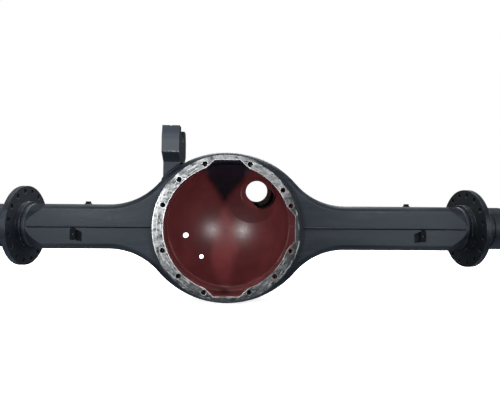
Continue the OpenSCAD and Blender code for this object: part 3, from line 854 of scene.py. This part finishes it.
def seam_bead(place, side):
    node = f"seam_weld_{place}_{side}"
    low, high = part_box(node)
    face_y = FRONT_Y if place == "front" else REAR_Y
    out = Vector((0.0, -1.0 if place == "front" else 1.0, 0.0))
    half = Vector((0.0, 0.0, (high.z - low.z) / 2))

    def corner(t):
        return Vector((low.x + (high.x - low.x) * t, face_y, 0.0)), half, -half, out
    name = f"seam_bead_{place}_{side}"
    corner_bead(name, corner, high.x - low.x, BULGE["seam"], False, node, finish=SEAM_PAINTED_LIGHT)


def bracket_beads():
    """Beads round the foot of the rod bracket, on the banjo's top arc."""
    low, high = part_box("rod_bracket")

    def on_banjo(x, y):
        normal = Vector((x, 0.0, math.sqrt(BANJO_ARC_R ** 2 - x * x))) / BANJO_ARC_R
        return Vector((x, y, normal.z * BANJO_ARC_R - BANJO_ARC_DROP)), normal

    def lay(name, start, end, away, leg):
        def corner(t):
            point, normal = on_banjo(start[0] + (end[0] - start[0]) * t, start[1] + (end[1] - start[1]) * t)
            along = (away - normal * away.dot(normal)).normalized()
            up = Vector((0, 0, 1))
            return point, along * leg, up * BRACKET_LEG, (along + up).normalized()
        corner_bead(name, corner, math.dist(start, end), BULGE["bracket"])

    front, rear = AXLE_Y - WEB_HALF, AXLE_Y + WEB_HALF
    lay("bracket_bead_front", (low.x, front), (high.x, front), Vector((0, -1, 0)), BRACKET_LEG)
    lay("bracket_bead_rear", (low.x, rear), (high.x, rear), Vector((0, 1, 0)), BRACKET_LEG)
    lay("bracket_bead_outer", (low.x, front), (low.x, rear), Vector((-1, 0, 0)), BRACKET_LEG)
    lay("bracket_bead_inner", (high.x, front), (high.x, rear), Vector((1, 0, 0)), BRACKET_INNER_LEG)


def fitting_beads():
    """Small beads at the pipe clips and the top bosses."""
    for side in SIDES:
        low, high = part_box("pipe_clip_" + side)
        outer = low.x if side == "left" else high.x
        inward = 1 if side == "left" else -1
        for place, z, way in (("top", CLIP_TOP, 1), ("bottom", CLIP_TOP - CLIP_H, -1)):
            def corner(t, outer=outer, inward=inward, z=z, way=way):
                root = Vector((outer + inward * (CLIP_BEAD_INSET + CLIP_BEAD_LEN * t), FRONT_Y, z))
                up, out = Vector((0, 0, way)), Vector((0, -1, 0))
                return root, up * CLIP_LEG, out * FITTING_LEG, (up + out).normalized()
            name = f"clip_bead_{place}_{side}"
            corner_bead(name, corner, CLIP_BEAD_LEN, BULGE["clip"], pitch=CLIP_PITCH, finish=BLACK)
        low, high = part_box("top_boss_" + side)
        centre = Vector(((low.x + high.x) / 2, AXLE_Y, HALF_ARM))
        radius = (high.x - low.x) / 2

        def ring(t, centre=centre, radius=radius):
            out = Vector((math.cos(t * TURN), math.sin(t * TURN), 0.0))
            up = Vector((0, 0, 1))
            return centre + out * radius, out * FITTING_LEG, up * FITTING_LEG, (out + up).normalized()
        name = "boss_bead_" + side
        corner_bead(name, ring, TURN * radius, BULGE["boss"], True, pitch=BOSS_PITCH, finish=BLACK)


def thread(name, start, axis, radius, form, material):
    """Screw thread on a wall of that radius."""
    length, depth, pitch, around = form
    axis = axis.normalized()
    e1 = axis.orthogonal().normalized()
    e2 = axis.cross(e1)
    rows = []
    levels = round(length / pitch * THREAD_STEPS)
    for i in range(levels + 1):
        along = length * i / levels
        lead = min(1.0, along / pitch, (length - along) / pitch)
        row = []
        for j in range(around + 1):
            angle = TURN * j / around
            phase = (along / pitch - j / around) % 1.0
            crest = 1.0 - abs(2.0 * phase - 1.0)
            r = radius + depth * lead * crest
            row.append(start + axis * along + (e1 * math.cos(angle) + e2 * math.sin(angle)) * r)
        rows.append(row)
    mesh_piece(name, rows, False, material)


def make_threads():
    for side in SIDES:
        mount = MOUNTS["top_boss_thread_" + side]
        axis = Vector(mount["axis"])
        foot = Vector(mount["pos_m"]) - axis * (mount["dims"]["length_mm"] / 2000 - BOSS_THREAD_INSET)
        radius = mount["dims"]["r_mm"] / 1000 - BOSS_THREAD_PLAY
        thread(mount["name"], foot, axis, radius, BOSS_THREAD, WELD)
    rearward = Vector((0, 1, 0))
    for i, angle in enumerate(RING_HOLE_ANGLES):
        foot = round_y(math.radians(angle)) * RING_HOLE_PCD_R + rearward * RING_THREAD_INSET
        steel = HOLE_PRIMER if angle in PRIMED_HOLES else BORED
        thread(f"ring_thread_{i}", foot, rearward, RING_THREAD_R, RING_THREAD, steel)
    for side, end in zip(SIDES, cad_box):
        inward = Vector((1 if side == "left" else -1, 0, 0))
        foot = Vector((end.x, AXLE_Y, 0.0)) + inward * NUT_THREAD_INSET
        thread("nut_thread_" + side, foot, inward, NUT_R, NUT_THREAD, GROUND)


def make_camera():
    data = bpy.data.cameras.new("camera")
    data.sensor_width = SENSOR_MM
    data.lens = FOCAL_PX / IMAGE_WIDTH_PX * SENSOR_MM
    camera = bpy.data.objects.new("camera", data)
    SCENE.collection.objects.link(camera)
    turn = Matrix.Rotation(CAMERA_YAW, 4, "Z")
    tip = Matrix.Rotation(math.radians(90) + CAMERA_PITCH, 4, "X")
    roll = Matrix.Rotation(CAMERA_ROLL, 4, "Z")
    camera.matrix_world = Matrix.Translation(CAMERA_PLACE) @ turn @ tip @ roll
    SCENE.camera = camera


def area_light(name, place, target, size, watts):
    data = bpy.data.lights.new(name, "AREA")
    data.shape = "DISK"
    data.size = size
    data.energy = watts
    light = bpy.data.objects.new(name, data)
    light.location = place
    light.rotation_mode = "QUATERNION"
    light.rotation_quaternion = (target - place).to_track_quat("-Z", "Y")
    SCENE.collection.objects.link(light)


def make_lamps():
    for name, side_deg, rise_deg, distance, width, watts in LAMPS:
        across, rise = math.radians(side_deg), math.radians(rise_deg)
        level = math.cos(rise)
        direction = Vector((math.sin(across) * level, -math.cos(across) * level, math.sin(rise)))
        area_light(name, AXLE_POINT + direction * distance, AXLE_POINT, width, watts)
    for name, place, width, watts in SOFTBOXES:
        area_light(name, place, AXLE_POINT, width, watts)


def make_world():
    """Studio round the part: brighter above, behind and at the sides, and bluish light from below."""
    g = Graph("studio", world=True)
    x, y, z = g.axes(g.add("TexCoord").outputs["Generated"])
    beside = g.span(g.math("ABSOLUTE", x), 0.70, 0.97, 0.0, 1.1)
    round_about = g.larger(beside, g.span(y, -0.5, 0.5, 0.24, 0.34))
    above = g.times(round_about, g.span(z, -0.6, 0.9, 0.30, 0.95))
    g.put(g.shader.inputs["Strength"], g.larger(above, g.span(z, -0.55, -0.90, 0.0, 1.2)))
    g.put(g.shader.inputs["Color"], g.mix(g.span(z, -0.5, 0.4), (0.72, 0.84, 1.0, 1), (0.94, 0.97, 1.0, 1)))
    white = g.add("Background", Color=(1, 1, 1, 1))
    choose = g.add("MixShader", Fac=g.add("LightPath").outputs["Is Camera Ray"])
    g.put(choose.inputs[1], g.shader.outputs[0])
    g.put(choose.inputs[2], white.outputs[0])
    g.put(g.nodes["World Output"].inputs["Surface"], choose.outputs[0])
    SCENE.world = g.owner


def make_floor():
    bpy.ops.mesh.primitive_plane_add(size=FLOOR_SIZE, location=(0, 0, LOWEST - FLOOR_DROP))
    floor = bpy.context.object
    floor.name = "floor"
    g = Graph("floor")
    g.shader.inputs["Base Color"].default_value = (0.90, 0.90, 0.90, 1)
    g.shader.inputs["Roughness"].default_value = 0.9
    g.shader.inputs["Emission Color"].default_value = (1, 1, 1, 1)
    g.shader.inputs["Emission Strength"].default_value = 0.72
    floor.data.materials.append(g.owner)
    floor.visible_diffuse = False
    floor.visible_glossy = False


dress_all()
ring_bead()
dome_bead()
mouth_bead()
port_bead()
port_swell()
port_edge()
for side in SIDES:
    girth_bead(side)
    for place in ("front", "rear"):
        seam_bead(place, side)
bracket_beads()
fitting_beads()
make_threads()
make_camera()
make_lamps()
make_world()
make_floor()
SCENE.view_settings.view_transform = "Standard"
